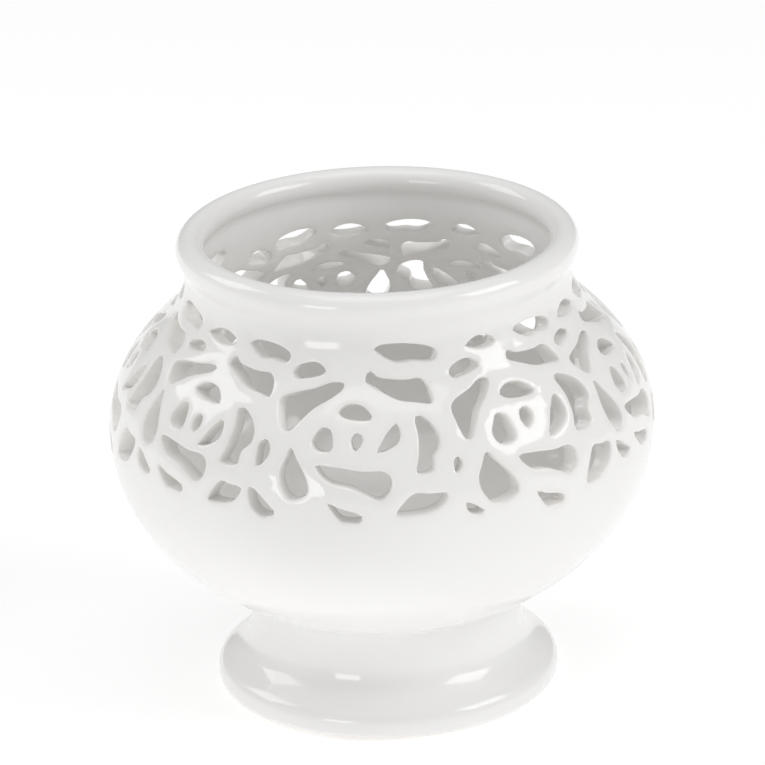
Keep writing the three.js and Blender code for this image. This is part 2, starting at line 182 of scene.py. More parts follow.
underside = joined([
    [(0, RECESS), (contact_inner - RECESS_RIM, RECESS)],
    bezier([(contact_inner - RECESS_RIM, RECESS), (contact_inner - 0.9 * MM, RECESS),
            (contact_inner - 0.5 * MM, 0), (contact_inner + 0.6 * MM, 0)], 10),
    [(contact_outer, 0)],
])
outside = joined([
    arc((contact_outer, FOOT_EDGE), FOOT_EDGE, -90, 0, 14),
    shoulder,
    bezier([shoulder[-1], leaving, waist - [0, reach], waist], 40),
    bezier([waist, (WAIST_RADIUS, bowl_start[1] - 0.6 * MM), bowl_start], 12),
    oval(junction, 0, 80),
    oval(0, sweep, 80),
    bezier([(SWEEP_RADIUS, SWEEP_START),
            (SWEEP_RADIUS - SWEEP_EASE, SWEEP_START + SWEEP_EASE * sweep_slope),
            (NECK_RADIUS, NECK_HEIGHT - NECK_EASE), (NECK_RADIUS, NECK_HEIGHT)], 30),
    bezier([(NECK_RADIUS, NECK_HEIGHT), (NECK_RADIUS, NECK_HEIGHT + LIP_EASE),
            (RIM_RADIUS, roll_centre[1] - LIP_EASE), (RIM_RADIUS, roll_centre[1])], 30),
])
roll = arc(roll_centre, RIM_ROLL, 0, ROLL_END, 44)
print(f"outside wall {1000 * lengths(outside)[-1]:.1f} mm long from foot to rim")

# %% [markdown]
# The inside of a cast pot follows its outside at the wall's thickness, so the inside
# is the outside moved in along the wall's own direction. Directions are averaged at
# each point, which is what the Sample Curve node will do with the same line.

# %% Directions along a line, and the inside worked out from the outside
def directions(line):
    """Unit direction at each point, the mean of the stretches on its two sides."""
    steps = np.diff(line, axis=0)
    steps /= np.linalg.norm(steps, axis=1)[:, None]
    mean = np.vstack([steps[:1], steps[:-1] + steps[1:], steps[-1:]])
    return mean / np.linalg.norm(mean, axis=1)[:, None]


class Line:
    """A line that can be asked for its place and outward direction at a length."""

    def __init__(self, points):
        self.points = points
        self.along = lengths(points)
        self.heading = directions(points)

    def place(self, length):
        return np.stack([np.interp(length, self.along, self.points[:, i]) for i in (0, 1)], -1)

    def outward(self, length):
        heading = np.stack([np.interp(length, self.along, self.heading[:, i]) for i in (0, 1)], -1)
        heading /= np.linalg.norm(heading, axis=-1, keepdims=True)
        return np.stack([heading[..., 1], -heading[..., 0]], -1)

    def length_at_height(self, height, low, high):
        """Length where the line passes a height, looked for between two lengths."""
        inside = (self.along >= low) & (self.along <= high)
        return float(np.interp(height, self.points[inside, 1], self.along[inside]))


SECTION_STEP = 0.25 * MM
outer = Line(refined(joined([underside, outside, roll]), SECTION_STEP))
foot_corner = lengths(underside)[-1]
wall_top = foot_corner + lengths(outside)[-1]
WIDEST = outer.length_at_height(EQUATOR, foot_corner, wall_top)


THINNING_START = WIDEST + 30 * MM
THINNING_LENGTH = 9 * MM


def wall_at(length):
    """Thickness of the wall at a length: it thins from the bowl to the neck."""
    share = np.clip((np.asarray(length) - THINNING_START) / THINNING_LENGTH, 0, 1)
    share = share * share * (3 - 2 * share)
    return BOWL_WALL + (NECK_WALL - BOWL_WALL) * share


BAND_LOW = WIDEST - 4.4 * MM
BAND_HIGH = WIDEST + 40.9 * MM
band_heights = [1000 * outer.place(s)[1] for s in (BAND_LOW, BAND_HIGH)]
print("pierced band from {:.1f} to {:.1f} mm high".format(*band_heights))

# %% The whole section as one line
down_the_band = np.linspace(BAND_HIGH, BAND_LOW, 160)
inner_band = np.array([outer.place(s) - outer.outward(s) * wall_at(s) for s in down_the_band])
inner_band = refined(inner_band, SECTION_STEP)
crease = outer.points[-1]
neck_inside = inner_band[0]
bowl_inside = inner_band[-1]
inner_radius = BOWL_RADIUS - BOWL_WALL
inner_depth = LOWER_DEPTH - BOWL_WALL
lower_start = -math.acos(bowl_inside[0] / inner_radius)
lower_stop = -math.acos((WELL_RADIUS + 2 * MM) / inner_radius)
lower_angles = np.linspace(lower_start, lower_stop, 50)
lower_oval = np.column_stack([
    inner_radius * np.cos(lower_angles),
    EQUATOR + inner_depth * np.sin(lower_angles),
])
lip = lower_oval[-1]
well_foot = FOOT_RADIUS - FOOT_WALL - 2.5 * MM
well_top = WAIST_HEIGHT - 3 * MM
corner = 2.4 * MM
inside_upper = joined([
    [crease],
    bezier([crease, crease + [-0.15 * MM, -0.35 * MM],
            (neck_inside[0], crease[1] - 1.2 * MM), neck_inside], 24),
])
inside_lower = joined([
    [bowl_inside],
    lower_oval,
    bezier([lip, (WELL_RADIUS, lip[1] - 1 * MM), (WELL_RADIUS, lip[1] - 4 * MM)], 14),
    bezier([(WELL_RADIUS, well_top), (WELL_RADIUS, well_top - 4 * MM),
            (well_foot, FLOOR + corner + 4 * MM), (well_foot, FLOOR + corner)], 24),
    arc((well_foot - corner, FLOOR + corner), corner, 0, -90, 12),
    [(0, FLOOR)],
])
upper_points = refined(inside_upper, SECTION_STEP)
lower_points = refined(inside_lower, SECTION_STEP)
section = Line(joined([outer.points, upper_points, inner_band, lower_points]))
IN_HIGH = outer.along[-1] + lengths(upper_points)[-1]
IN_LOW = IN_HIGH + lengths(inner_band)[-1]
END = section.along[-1]
print(f"section {1000 * END:.1f} mm round, {len(section.points)} points")

# %% [markdown]
# ## The cut roses
#
# On the real pot each rose is a ring of small cuts made through the leather-hard wall
# with a fine blade: a dot in the middle, petals round it, and larger leaf-shaped cuts
# between the roses. One pattern was followed, but by hand, so three roses that differ
# a little come round three times. Each cut is written once as an outline in a box
# from 0 to 1, and each rose says where its boxes lie: left and right in degrees from
# its middle, low and high in millimetres up the wall from the widest line.

# %% Outlines of the cuts
CUTS = {
    "dot": [(0, .57), (.26, 1), (.78, 1), (1, .57), (.7, .19), (.33, 0)],
    "left_petal": [(0, .43), (.2, .77), (.43, 1), (.82, .92), (1, .4), (.96, .09), (.59, 0), (.16, .09)],
    "right_petal": [(0, 0), (.17, .33), (.47, .72), (.85, 1), (1, .66), (.89, .33), (.36, .05)],
    "dome": [(0, .45), (.16, .84), (.44, 1), (.76, .82), (1, .1), (.61, 0), (.17, .16)],
    "crescent": [(0, .03), (.11, .3), (.18, .62), (.14, .98), (.36, 1), (.79, .84), (1, .63), (.98, .44),
                 (.7, .27), (.64, .06), (.36, 0)],
    "teardrop": [(0, .52), (.14, .79), (.3, 1), (.52, .81), (.95, .39), (1, .16), (.73, .02), (.36, 0),
                 (.08, .23)],
    "wide_petal": [(0, 1), (.3, .99), (.61, .89), (.91, .87), (1, .65), (.96, .23), (.84, 0), (.65, .18),
                   (.46, .38), (.19, .52), (.06, .76)],
    "low_petal": [(0, 1), (.34, .76), (.8, .54), (1, .32), (.94, .05), (.66, 0), (.37, .05), (.2, .37)],
    "leaf": [(0, .04), (.19, .7), (.37, 1), (.66, .94), (1, .87), (.86, .38), (.62, .09), (.29, 0)],
    "seed": [(0, 1), (.3, .88), (.78, .43), (1, .2), (.8, .03), (.47, 0), (.12, .3)],
    "slit": [(.03, .34), (.06, .8), (.55, 1), (.9, .84), (1, .54), (.68, .21), (.16, 0)],
    "sail": [(0, .58), (.1, .69), (.51, .85), (.79, .98), (.99, .97), (.99, .89), (.82, .69), (.57, .47),
             (.39, .2), (.26, .01), (.16, .03), (.04, .31)],
    "bud": [(0, .3), (.1, .68), (.42, .95), (.73, 1), (.98, .68), (1, .5), (.8, .27), (.4, .07), (.15, 0)],
    "sweep": [(0, .72), (.03, .95), (.09, 1), (.2, .85), (.4, .78), (.63, .74), (.86, .75), (.95, .57),
              (1, .14), (.98, 0), (.75, .07), (.5, .17), (.28, .4), (.12, .57)],
    "long_slot": [(0, .72), (.08, .92), (.3, 1), (.55, .97), (.85, .78), (1, .5), (.95, .05), (.8, 0),
                  (.58, .1), (.36, .04), (.2, .25), (.08, .5)],
    "short_slot": [(0, .4), (.25, .85), (.52, 1), (.8, .85), (1, .45), (.85, .1), (.5, 0), (.2, .15)],
}
print(f"{len(CUTS)} outlines of cuts")

# %% Where the cuts of the three hand-cut roses lie
ROSES = [
    {
        "dot": (-1, 1.5, 14.3, 18.3), "left_petal": (-8.3, -3.5, 13.8, 19.8),
        "right_petal": (2.5, 7.9, 12.2, 18.8), "dome": (-5, 4.2, 21.8, 25.6),
        "crescent": (9.2, 16, 9.7, 22.3), "teardrop": (-17, -11.3, 7.8, 20),
        "wide_petal": (-9, 5.8, 4.3, 11.1), "low_petal": (-8.1, 0, 0.8, 4.7),
        "leaf": (7.2, 15.2, 1.1, 6), "seed": (-16.4, -11, 1.5, 5.9),
        "sail": (-18, -2.5, 21.8, 29.6), "bud": (-18.5, -10.4, 30.4, 33.1),
        "sweep": (1, 17.2, 25.9, 33), "long_slot": (6, 19.8, 33.9, 37.7),
        "short_slot": (-11.5, 0.8, 34.6, 37.6),
    },
    {
        "dot": (-1.2, 1.5, 15.5, 19.2), "left_petal": (-10.1, -5.2, 15.1, 20.4),
        "right_petal": (4.6, 9.9, 15.2, 21.3), "dome": (-4.7, 3.5, 22.2, 26),
        "crescent": (12.9, 18.5, 10.2, 22.8), "teardrop": (-16.4, -10, 4.5, 15.5),
        "wide_petal": (-8.6, 7.5, 4.9, 12), "low_petal": (-5.7, 1.3, 0.1, 4.2),
        "leaf": (8.2, 19, 1.5, 6.2), "seed": (-23, -17, 0, 6), "slit": (-22.4, -19.3, 10.5, 16.6),
        "sail": (-19.9, -3.9, 18.8, 31), "bud": (-18.7, -9.4, 30.9, 34.8),
        "sweep": (1.6, 18.6, 25.4, 33.3), "long_slot": (3.9, 21.9, 34.8, 39),
    },
    {
        "dot": (-1.3, 2, 16.2, 20.5), "left_petal": (-9.1, -4, 14, 20.7),
        "right_petal": (4.7, 11.5, 13.2, 21.3), "dome": (-4, 5.5, 23, 26.9),
        "crescent": (12.2, 20.6, 12, 25), "teardrop": (-14.1, -5.6, 2, 13.2),
        "wide_petal": (-4.3, 10.3, 4, 10.8), "low_petal": (-1.2, 5.7, -1.8, 2.3),
        "leaf": (12.4, 21.4, 0.3, 7.6), "seed": (-17.3, -13.5, 0.2, 3.1), "slit": (-19.1, -17.3, 9.6, 13.1),
        "sail": (-17.3, -5.5, 16.2, 29.5), "bud": (-15.5, -6.5, 30.4, 34.2),
        "sweep": (2.7, 19, 27.6, 33.8), "long_slot": (7.8, 23.3, 34.9, 38.4),
        "short_slot": (-9, 0.7, 35.7, 38.4),
    },
]
ROSE_COUNT = 9
FIRST_ROSE = -45.8  # degrees, 0 is the front
print(f"{ROSE_COUNT} roses from {len(ROSES)} hand-cut ones")

# %% [markdown]
# To lay the band out flat without stretching one part more than another, it is drawn
# as a flat ring: round the ring is round the pot, and each step outwards is a step up
# the wall, scaled so that small shapes keep their angles. Flat, the ring can be filled
# with well-shaped triangles that leave the cuts open, however they interlock.

# %% The flat ring
band_along = np.linspace(BAND_LOW - 2 * MM, BAND_HIGH + 2 * MM, 600)
band_radius = outer.place(band_along)[:, 0]
growth = np.r_[0, np.cumsum(np.diff(band_along) * 2 / (band_radius[1:] + band_radius[:-1]))]
ring_radius = np.exp(growth)


def to_ring(turn, along):
    """Turn in radians and length up the wall, to a place on the flat ring."""
    out = np.interp(along, band_along, ring_radius)
    return np.stack([out * np.cos(turn), out * np.sin(turn)], -1)


def from_ring(place):
    """Back from the flat ring to turn and length."""
    out = np.linalg.norm(place, axis=-1)
    return np.arctan2(place[..., 1], place[..., 0]), np.interp(out, ring_radius, band_along)


def ring_scale(place):
    """How much longer a short line is on the ring than on the pot, at a place."""
    out = np.linalg.norm(place, axis=-1)
    return out / np.interp(out, ring_radius, band_radius)


# %% A smooth closed outline through a cut's points, with its points evenly spaced
def smooth_outline(corners, spacing, fewest):
    """Centripetal Catmull-Rom curve through the corners, in millimetres, resampled."""
    points = []
    count = len(corners)
    for i in range(count):
        p = [corners[(i + k) % count] for k in (-1, 0, 1, 2)]
        gaps = [max(np.linalg.norm(p[k + 1] - p[k]), 1e-6) for k in range(3)]
        knots = np.r_[0, np.cumsum(np.sqrt(gaps))]
        for t in np.linspace(knots[1], knots[2], 12, endpoint=False):
            a = [p[k] + (p[k + 1] - p[k]) * (t - knots[k]) / (knots[k + 1] - knots[k]) for k in range(3)]
            b = [a[k] + (a[k + 1] - a[k]) * (t - knots[k]) / (knots[k + 2] - knots[k]) for k in range(2)]
            points.append(b[0] + (b[1] - b[0]) * (t - knots[1]) / (knots[2] - knots[1]))
    loop = np.array(points + [points[0]])
    along = lengths(loop)
    number = max(fewest, int(round(along[-1] / spacing)))
    at = np.linspace(0, along[-1], number, endpoint=False)
    return np.column_stack([np.interp(at, along, loop[:, i]) for i in (0, 1)])


# %% Every cut's outline on the flat ring
OUTLINE_SPACING = 0.95  # millimetres, between the points of an outline
FEWEST_POINTS = 12
EDGE_ROUND = 0.5 * MM


def cut_outline(name, box, middle):
    """One cut's outline on the ring, anticlockwise seen from outside the pot."""
    left, right, low, high = box
    degree = math.radians(1) * np.interp(WIDEST + (low + high) / 2 * MM, band_along, band_radius) / MM
    corners = [np.array([(left + (right - left) * x) * degree, low + (high - low) * y])
               for x, y in CUTS[name]]
    loop = smooth_outline(corners, OUTLINE_SPACING, FEWEST_POINTS)[::-1]
    turn = math.radians(middle) + np.radians(loop[:, 0] / degree)
    return to_ring(turn, WIDEST + loop[:, 1] * MM)


def grown(loop, by):
    """The loop moved outwards, away from the opening, by a distance on the pot."""
    side = np.roll(loop, -1, axis=0) - np.roll(loop, 1, axis=0)
    side /= np.linalg.norm(side, axis=1)[:, None]
    normal = np.column_stack([side[:, 1], -side[:, 0]])
    area = 0.5 * np.sum(loop[:, 0] * np.roll(loop[:, 1], -1) - np.roll(loop[:, 0], -1) * loop[:, 1])
    return loop + normal * np.sign(area) * (by * ring_scale(loop))[:, None]


cuts = []
for i in range(ROSE_COUNT):
    for name, box in ROSES[i % len(ROSES)].items():
        cuts.append(cut_outline(name, box, FIRST_ROSE + i * 360 / ROSE_COUNT))
edges = [grown(loop, EDGE_ROUND) for loop in cuts]
NEARBY = 48 * MM
narrowest = min(
    np.linalg.norm(a[:, None] - b[None], axis=-1).min() / ring_scale(a[:1])[0]
    for i, a in enumerate(edges) for b in edges[i + 1:]
    if np.linalg.norm(a[0] - b[0]) < NEARBY * ring_scale(a[:1])[0]
)
KNIFE_LEVEL = 0.5  # 0 is square to the wall, 1 is level


def climbed(along, depth):
    """Where up the wall a cut is at a depth: the knife is held nearer level than square."""
    out = outer.outward(along)
    steep = np.maximum(np.arctan2(out[..., 1], out[..., 0]), 0)
    return along + depth * np.tan(steep * (1 - KNIFE_LEVEL))


print(f"{len(cuts)} cuts, {sum(map(len, cuts))} outline points")
print(f"narrowest flat bridge {1000 * narrowest:.2f} mm")

# %% [markdown]
# ## The pot laid out flat
#
# The whole pot is first made as a flat sheet: across the sheet is the turn round the
# axis, up the sheet is the length along the section, and down through it is how deep a
# point lies under the surface. The sheet can be checked and counted easily, and one
# short node tree will turn it into the pot. Rows of points are shared from one strip
# to the next, so the skin is closed from the start and nothing has to be welded.

# %% A sheet that grows by rows and strips
COLUMNS = 240
turns = np.linspace(-math.pi, math.pi, COLUMNS, endpoint=False)


class Sheet:
    """Points as (turn, length, depth) with a glaze-thinness value, and their faces."""

    def __init__(self):
        self.points = []
        self.thin = []
        self.faces = []

    def add(self, turn, along, depth, thin=0.0):
        first = len(self.points)
        rows = np.broadcast_arrays(turn, along, depth, thin)
        self.points.extend(zip(*(r.tolist() for r in rows[:3])))
        self.thin.extend(rows[3].tolist())
        return list(range(first, len(self.points)))

    def row(self, along):
        return self.add(turns, np.full(COLUMNS, along), 0.0)

    def strip(self, a, b):
        """Quads between two rings of the same number of points."""
        for i in range(len(a)):
            j = (i + 1) % len(a)
            self.faces.append((a[i], a[j], b[j], b[i]))

    def cap(self, ring, along):
        """Closes a ring on the axis with one point and a fan."""
        (middle,) = self.add(np.zeros(1), np.array([along]), 0.0)
        for i in range(len(ring)):
            self.faces.append((ring[i], ring[(i + 1) % len(ring)], middle))

    def strips(self, first, alongs):
        """Rows at each length in turn, joined to the ring before; returns the last."""
        for along in alongs:
            ring = self.row(along)
            self.strip(first, ring)
            first = ring
        return first


sheet = Sheet()
print(f"{COLUMNS} columns, {1000 * 2 * math.pi * BOWL_RADIUS / COLUMNS:.2f} mm apart at the widest line")

# %% Triangles of the band: ring of points, filled between its borders and its cuts
SPACING = 1.55 * MM
CLEARANCE = 0.62
ROW_SHARE = 0.866  # height of a triangle with equal sides


def spread_points():
    """Points evenly spread over the band, off its borders and clear of the cuts."""
    found = []
    rows = int(round((BAND_HIGH - BAND_LOW) / (SPACING * ROW_SHARE)))
    for k in range(1, rows):
        along = BAND_LOW + (BAND_HIGH - BAND_LOW) * k / rows
        number = int(2 * math.pi * outer.place(along)[0] / SPACING)
        turn = (np.arange(number) + 0.5 * (k % 2)) * 2 * math.pi / number - math.pi
        found.append(to_ring(turn, np.full(number, along)))
    return np.vstack(found)


def inside(loop, points):
    """Whether each point lies within a closed loop."""
    result = np.zeros(len(points), bool)
    for (x0, y0), (x1, y1) in zip(loop, np.roll(loop, -1, axis=0)):
        crosses = (y0 > points[:, 1]) != (y1 > points[:, 1])
        result ^= crosses & (points[:, 0] < (x1 - x0) * (points[:, 1] - y0) / (y1 - y0 + 1e-30) + x0)
    return result


def clear_of(loops, points):
    """The points outside every loop and not close to one."""
    keep = np.ones(len(points), bool)
    for loop in loops:
        room = SPACING * CLEARANCE * ring_scale(loop[:1])[0]
        near = np.all((points > loop.min(0) - room) & (points < loop.max(0) + room), axis=1) & keep
        some = points[near]
        if len(some):
            away = np.linalg.norm(some[:, None] - loop[None], axis=-1).min(1)
            keep[np.flatnonzero(near)[inside(loop, some) | (away < room)]] = False
    return points[keep]


lower_border = to_ring(turns, np.full(COLUMNS, BAND_LOW))
upper_border = to_ring(turns, np.full(COLUMNS, BAND_HIGH))
loops = [lower_border, upper_border] + edges
inner_points = clear_of(edges, spread_points())
flat = np.vstack(loops + [inner_points])
starts = np.cumsum([0] + [len(loop) for loop in loops])
borders = [(s + i, s + (i + 1) % len(loop))
           for s, loop in zip(starts, loops) for i in range(len(loop))]
made = delaunay_2d_cdt([Vector(p) for p in flat], borders, [], 0, 1e-9)
print(f"{len(flat)} points laid out, {len(made[0])} after filling, {len(made[2])} triangles")

# %% Drop the triangles that fill the cuts and the middle of the ring
source = [min(ids) if ids else -1 for ids in made[3]]
owner = np.full(len(flat), -1)
for number, (s, loop) in enumerate(zip(starts, loops)):
    owner[s:s + len(loop)] = number
triangles = []
for face in made[2]:
    ids = [source[v] for v in face]
    owners = {int(owner[v]) for v in ids}
    if len(owners) == 1 and (number := owners.pop()) >= 0 and number != 1:
        middle = flat[ids].mean(axis=0, keepdims=True)
        if inside(loops[number], middle)[0]:
            continue
    triangles.append(ids)
print(f"{len(triangles)} triangles cover the band")

# %% Both faces of the band
LOWER = slice(0, COLUMNS)
UPPER = slice(COLUMNS, 2 * COLUMNS)
EDGE_THIN = 0.6
flat_turn, flat_along = from_ring(flat)
back_along = climbed(flat_along, wall_at(flat_along))
for rows, height in ((LOWER, BAND_LOW), (UPPER, BAND_HIGH)):
    flat_turn[rows] = turns
    flat_along[rows] = height
    back_along[rows] = height
on_edge = np.where(owner >= 2, EDGE_THIN, 0.0)
front = sheet.add(flat_turn, flat_along, 0.0, on_edge)
back = sheet.add(flat_turn, back_along, wall_at(back_along), on_edge * EDGE_THIN)
for a, b, c in triangles:
    sheet.faces.append((front[a], front[c], front[b]))
    sheet.faces.append((back[a], back[b], back[c]))
print(f"both faces: {len(sheet.points)} points, {len(sheet.faces)} faces")

# %% The walls of the cuts, with their glaze-softened edges
ROUND_STEPS = 3
for loop, start in zip(cuts, starts[2:]):
    size = len(loop)
    ring = front[start:start + size]
    quarter = [math.pi / 2 * k / ROUND_STEPS for k in range(1, ROUND_STEPS + 1)]
    stages = [(1 - math.sin(a), 1 - math.cos(a), False) for a in quarter]
    stages += [(1 - math.sin(a), 1 - math.cos(a), True) for a in reversed(quarter)]
    for out, down, from_back in stages:
        turn, along = from_ring(grown(loop, EDGE_ROUND * out))
        wall = wall_at(climbed(along, wall_at(along)))
        depth = wall - EDGE_ROUND * down if from_back else np.full(size, EDGE_ROUND * down)
        thin = 0.4 if from_back else 1.0 - 0.3 * down
        following = sheet.add(turn, climbed(along, depth), depth, thin)
        sheet.strip(ring, following)
        ring = following
    sheet.strip(ring, back[start:start + size])
print(f"band and cuts: {len(sheet.points)} points, {len(sheet.faces)} faces")

# %% The plain rows: underside, foot, lower bowl, rim, inside and floor
LONGEST_ROW = 2.0 * MM
SHORTEST_ROW = 0.32 * MM
TURN_PER_ROW = 0.16  # radians
LOOK_AHEAD = 0.8 * MM
POLE_RADIUS = 2.5 * MM


def row_lengths(start, stop):
    """Row places between two lengths, closer together where the section bends."""
    places = []
    at = start
    while at < stop:
        here = section.outward(np.array([at, min(at + LOOK_AHEAD, stop)]))
        bend = math.acos(min(1.0, float(here[0] @ here[1]))) / LOOK_AHEAD
        at += min(LONGEST_ROW, max(SHORTEST_ROW, TURN_PER_ROW / max(bend, 1e-6)))
        places.append(at)
    stretch = (stop - start) / (places[-1] - start)
    return [start + (p - start) * stretch for p in places]


first_row = sheet.row(POLE_RADIUS)
sheet.cap(first_row[::-1], 0.0)
below = sheet.strips(first_row, row_lengths(POLE_RADIUS, BAND_LOW)[:-1])
sheet.strip(below, front[LOWER])
above = sheet.strips(front[UPPER], row_lengths(BAND_HIGH, IN_HIGH)[:-1])
sheet.strip(above, back[UPPER])
within = sheet.strips(back[LOWER], row_lengths(IN_LOW, END - POLE_RADIUS))
sheet.cap(within, END)
print(f"whole sheet: {len(sheet.points)} points, {len(sheet.faces)} faces")

# %% [markdown]
# ## Building node trees in the script
#
# A node tree is easier to read as a few lines of code than as wires. This helper adds
# a node, fills its inputs in order or by name, and wires any input that is given
# another node's output.

# %% A small helper for node trees
class Nodes:
    def __init__(self, tree):
        self.tree = tree

    def add(self, kind, *inputs, settings=None, **named):
        node = self.tree.nodes.new(kind)
        for key, value in (settings or {}).items():
            setattr(node, key, value)
        slots = list(zip(node.inputs, inputs))
        slots += [(node.inputs[key.replace("_", " ")], value) for key, value in named.items()]
        for slot, value in slots:
            if isinstance(value, bpy.types.NodeSocket):
                self.wire(value, slot)
            elif value is not None:
                slot.default_value = value
        return node

    def wire(self, value, slot):
        self.tree.links.new(value, slot)

    def math(self, operation, *inputs):
        return self.add("ShaderNodeMath", *inputs, settings={"operation": operation}).outputs[0]

    def vector(self, operation, *inputs, **named):
        settings = {"operation": operation}
        return self.add("ShaderNodeVectorMath", *inputs, settings=settings, **named).outputs[0]


def geometry_tree(name, inputs):
    """A geometry tree with named inputs: {name: (socket type, default)}."""
    tree = bpy.data.node_groups.new(name, "GeometryNodeTree")
    tree.interface.new_socket("Geometry", in_out="INPUT", socket_type="NodeSocketGeometry")
    tree.interface.new_socket("Geometry", in_out="OUTPUT", socket_type="NodeSocketGeometry")
    for key, (kind, default) in inputs.items():
        socket = tree.interface.new_socket(key, in_out="INPUT", socket_type=kind)
        if default is not None:
            socket.default_value = default
    nodes = Nodes(tree)
    return nodes, nodes.add("NodeGroupInput").outputs


def finish_tree(nodes, geometry, material):
    """Smooth faces, real geometry in place of instances, the material, and out."""
    smooth = nodes.add("GeometryNodeSetShadeSmooth", geometry)
    real = nodes.add("GeometryNodeRealizeInstances", smooth.outputs[0])
    painted = nodes.add("GeometryNodeSetMaterial", Geometry=real.outputs[0], Material=material)
    nodes.add("NodeGroupOutput", painted.outputs[0])
    return nodes.tree


def run_tree(name, base, tree, values):
    """Runs a tree on an object, with its inputs set by identifier, and keeps the mesh."""
    modifier = base.modifiers.new(tree.name, "NODES")
    modifier.node_group = tree
    for item in tree.interface.items_tree:
        if item.item_type == "SOCKET" and item.in_out == "INPUT" and item.name in values:
            modifier[item.identifier] = values[item.name]
    bpy.context.view_layer.update()
    graph = bpy.context.evaluated_depsgraph_get()
    mesh = bpy.data.meshes.new_from_object(base.evaluated_get(graph))
    base.modifiers.remove(modifier)
    bpy.data.objects.remove(base)
    return kept(name, mesh)


def kept(name, mesh):
    """A finished piece from a mesh, with its name and its measurements printed."""
    mesh.name = name
    piece = bpy.data.objects.new(name, mesh)
    bpy.context.collection.objects.link(piece)
    bm = bmesh.new()
    bm.from_mesh(mesh)
    if bm.calc_volume(signed=True) < 0:
        bmesh.ops.reverse_faces(bm, faces=bm.faces)
        bm.to_mesh(mesh)
    open_edges = sum(not e.is_contiguous for e in bm.edges)
    count = sum(len(f.verts) - 2 for f in bm.faces)
    print(f"{name}: {count} triangles, {open_edges} open or turned edges, {1e6 * bm.calc_volume():.2f} cm3")
    bm.free()
    return piece


def from_points(name, points, faces):
    mesh = bpy.data.meshes.new(name)
    mesh.from_pydata([tuple(p) for p in points], [], faces)
    mesh.update()
    piece = bpy.data.objects.new(name, mesh)
    bpy.context.collection.objects.link(piece)
    return piece

# %% [markdown]
# ## Materials
#
# White glaze is a thin coat of glass over a white body. It is glossy and slightly
# uneven, it draws back from cut edges so that they look a touch warmer, and the ring
# the pot stands on is wiped clean before firing, so it stays dry and matt. Unevenness
# is shared by several finishes, so it is a group, placed in each with its own scale.

# %% Unevenness, shared by the glaze, the wax, the foil and the tin
def unevenness_group():
    tree = bpy.data.node_groups.new("unevenness", "ShaderNodeTree")
    for name, default in (("Broad Scale", 30.0), ("Fine Scale", 400.0), ("Fine Share", 0.3)):
        socket = tree.interface.new_socket(name, in_out="INPUT", socket_type="NodeSocketFloat")
        socket.default_value = default
    for name in ("Height", "Mask"):
        tree.interface.new_socket(name, in_out="OUTPUT", socket_type="NodeSocketFloat")
    nodes = Nodes(tree)
    given = nodes.add("NodeGroupInput").outputs
    where = nodes.add("ShaderNodeTexCoord").outputs["Object"]
    broad = nodes.add("ShaderNodeTexNoise", Vector=where, Scale=given["Broad Scale"],
                      Detail=2.0, Roughness=0.45)
    fine = nodes.add("ShaderNodeTexNoise", Vector=where, Scale=given["Fine Scale"],
                     Detail=3.0, Roughness=0.6)
    share = nodes.math("MULTIPLY", fine.outputs["Fac"], given["Fine Share"])
    height = nodes.math("ADD", broad.outputs["Fac"], share)
    nodes.add("NodeGroupOutput", height, broad.outputs["Fac"])
    return tree


UNEVENNESS = unevenness_group()


def new_material(name):
    """An empty material with a Principled shader, and the helper to wire it."""
    material = bpy.data.materials.new(name)
    material.use_nodes = True
    material.node_tree.nodes.clear()
    nodes = Nodes(material.node_tree)
    shader = nodes.add("ShaderNodeBsdfPrincipled")
    nodes.add("ShaderNodeOutputMaterial", shader.outputs[0])
    return material, nodes, shader.inputs


def uneven(nodes, broad, fine, share):
    return nodes.add("ShaderNodeGroup", settings={"node_tree": UNEVENNESS},
                     Broad_Scale=broad, Fine_Scale=fine, Fine_Share=share).outputs


def blend(nodes, share, a, b):
    mixed = nodes.add("ShaderNodeMix", settings={"data_type": "RGBA"})
    nodes.wire(share, mixed.inputs["Factor"])
    for socket, colour in ((mixed.inputs[6], a), (mixed.inputs[7], b)):
        if isinstance(colour, bpy.types.NodeSocket):
            nodes.wire(colour, socket)
        else:
            socket.default_value = (*colour, 1.0)
    return mixed.outputs[2]


def spread(nodes, value, low, high, to_low=0.0, to_high=1.0):
    return nodes.add("ShaderNodeMapRange", value, low, high, to_low, to_high,
                     settings={"interpolation_type": "SMOOTHSTEP"}).outputs[0]


def bump(nodes, height, distance, strength=1.0):
    return nodes.add("ShaderNodeBump", Height=height, Distance=distance, Strength=strength).outputs[0]

